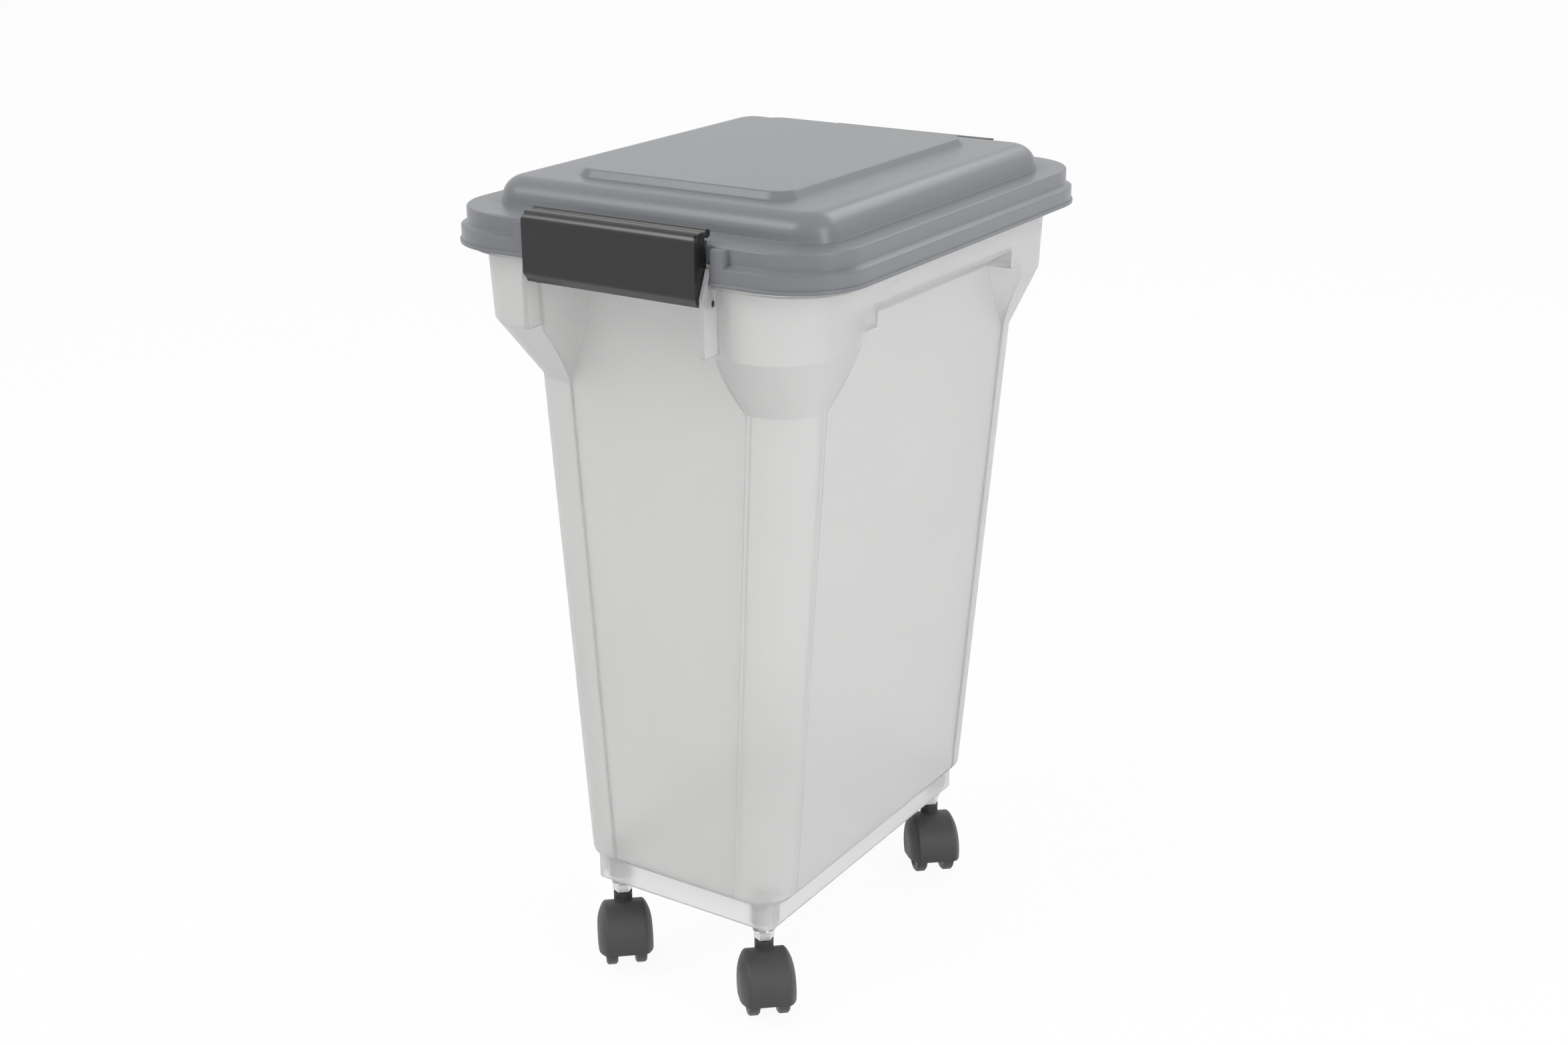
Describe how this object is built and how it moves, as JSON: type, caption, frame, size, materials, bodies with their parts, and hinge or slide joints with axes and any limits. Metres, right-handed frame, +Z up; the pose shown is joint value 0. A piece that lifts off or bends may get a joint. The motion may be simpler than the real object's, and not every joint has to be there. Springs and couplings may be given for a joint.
{
  "type": "wheeled dry food storage bin",
  "caption": "Tall translucent tapered food storage bin on twin-wheel swivel casters, with a domed opaque lid held down by a swing latch on each short side.",
  "frame": {"origin": "centre of the bounding box at floor level, under the middle of the bin", "axes": "+Z up from the floor, X across the short front side, Y along the depth with the front latch at -Y"},
  "size_m": [0.278, 0.354, 0.5336],
  "materials": {
    "tub_plastic": "milky translucent",
    "lid_plastic": "satin",
    "latch_plastic": "semi-gloss",
    "caster_plastic": "matte",
    "wheel_plastic": "matte",
    "zinc": "bright zinc plate",
    "steel": "plain",
    "gasket_rubber": "matte"
  },
  "bodies": {
    "bin": {"bin": "tub_plastic", "caster_front_left_stem": "zinc", "caster_front_left_grip_ring": "steel", "caster_front_right_stem": "zinc", "caster_front_right_grip_ring": "steel", "caster_rear_left_stem": "zinc", "caster_rear_left_grip_ring": "steel", "caster_rear_right_stem": "zinc", "caster_rear_right_grip_ring": "steel"},
    "lid": {"lid": "lid_plastic", "lid_gasket": "gasket_rubber"},
    "front_latch": {"front_latch": "latch_plastic"},
    "rear_latch": {"rear_latch": "latch_plastic"},
    "caster_front_left": {"caster_front_left_hood": "caster_plastic", "caster_front_left_axle": "steel"},
    "caster_front_left_wheel_left": {"caster_front_left_wheel_left": "wheel_plastic"},
    "caster_front_left_wheel_right": {"caster_front_left_wheel_right": "wheel_plastic"},
    "caster_front_right": {"caster_front_right_hood": "caster_plastic", "caster_front_right_axle": "steel"},
    "caster_front_right_wheel_left": {"caster_front_right_wheel_left": "wheel_plastic"},
    "caster_front_right_wheel_right": {"caster_front_right_wheel_right": "wheel_plastic"},
    "caster_rear_left": {"caster_rear_left_hood": "caster_plastic", "caster_rear_left_axle": "steel"},
    "caster_rear_left_wheel_left": {"caster_rear_left_wheel_left": "wheel_plastic"},
    "caster_rear_left_wheel_right": {"caster_rear_left_wheel_right": "wheel_plastic"},
    "caster_rear_right": {"caster_rear_right_hood": "caster_plastic", "caster_rear_right_axle": "steel"},
    "caster_rear_right_wheel_left": {"caster_rear_right_wheel_left": "wheel_plastic"},
    "caster_rear_right_wheel_right": {"caster_rear_right_wheel_right": "wheel_plastic"}
  },
  "joints": [
    {"name": "lid_lift", "type": "slide", "parent": "bin", "child": "lid", "axis": [0, 0, 1], "range_m": [0, 0.06]},
    {"name": "front_latch_open", "type": "hinge", "parent": "bin", "child": "front_latch", "pos_m": [0, -0.1644, 0.4807], "axis": [1, 0, 0], "range_deg": [0, 110]},
    {"name": "rear_latch_open", "type": "hinge", "parent": "bin", "child": "rear_latch", "pos_m": [0, 0.1644, 0.4807], "axis": [-1, 0, 0], "range_deg": [0, 110]},
    {"name": "caster_front_left_swivel", "type": "hinge", "parent": "bin", "child": "caster_front_left", "pos_m": [-0.0568, -0.1094, 0.048], "axis": [0, 0, 1], "continuous": true},
    {"name": "caster_front_left_wheel_left_spin", "type": "hinge", "parent": "caster_front_left", "child": "caster_front_left_wheel_left", "pos_m": [-0.05024, -0.11695, 0.019], "axis": [-0.7547, -0.6561, 0], "continuous": true},
    {"name": "caster_front_left_wheel_right_spin", "type": "hinge", "parent": "caster_front_left", "child": "caster_front_left_wheel_right", "pos_m": [-0.05024, -0.11695, 0.019], "axis": [-0.7547, -0.6561, 0], "continuous": true},
    {"name": "caster_front_right_swivel", "type": "hinge", "parent": "bin", "child": "caster_front_right", "pos_m": [0.0568, -0.1094, 0.048], "axis": [0, 0, 1], "continuous": true},
    {"name": "caster_front_right_wheel_left_spin", "type": "hinge", "parent": "caster_front_right", "child": "caster_front_right_wheel_left", "pos_m": [0.06336, -0.11695, 0.019], "axis": [-0.7547, -0.6561, 0], "continuous": true},
    {"name": "caster_front_right_wheel_right_spin", "type": "hinge", "parent": "caster_front_right", "child": "caster_front_right_wheel_right", "pos_m": [0.06336, -0.11695, 0.019], "axis": [-0.7547, -0.6561, 0], "continuous": true},
    {"name": "caster_rear_left_swivel", "type": "hinge", "parent": "bin", "child": "caster_rear_left", "pos_m": [-0.0568, 0.1094, 0.048], "axis": [0, 0, 1], "continuous": true},
    {"name": "caster_rear_left_wheel_left_spin", "type": "hinge", "parent": "caster_rear_left", "child": "caster_rear_left_wheel_left", "pos_m": [-0.05024, 0.10185, 0.019], "axis": [-0.7547, -0.6561, 0], "continuous": true},
    {"name": "caster_rear_left_wheel_right_spin", "type": "hinge", "parent": "caster_rear_left", "child": "caster_rear_left_wheel_right", "pos_m": [-0.05024, 0.10185, 0.019], "axis": [-0.7547, -0.6561, 0], "continuous": true},
    {"name": "caster_rear_right_swivel", "type": "hinge", "parent": "bin", "child": "caster_rear_right", "pos_m": [0.0568, 0.1094, 0.048], "axis": [0, 0, 1], "continuous": true},
    {"name": "caster_rear_right_wheel_left_spin", "type": "hinge", "parent": "caster_rear_right", "child": "caster_rear_right_wheel_left", "pos_m": [0.06336, 0.10185, 0.019], "axis": [-0.7547, -0.6561, 0], "continuous": true},
    {"name": "caster_rear_right_wheel_right_spin", "type": "hinge", "parent": "caster_rear_right", "child": "caster_rear_right_wheel_right", "pos_m": [0.06336, 0.10185, 0.019], "axis": [-0.7547, -0.6561, 0], "continuous": true}
  ],
  "couplings": [
    {"joint": "front_latch_open", "follows": "lid_lift", "rad_per_m": 31.9},
    {"joint": "rear_latch_open", "follows": "lid_lift", "rad_per_m": 31.9}
  ]
}
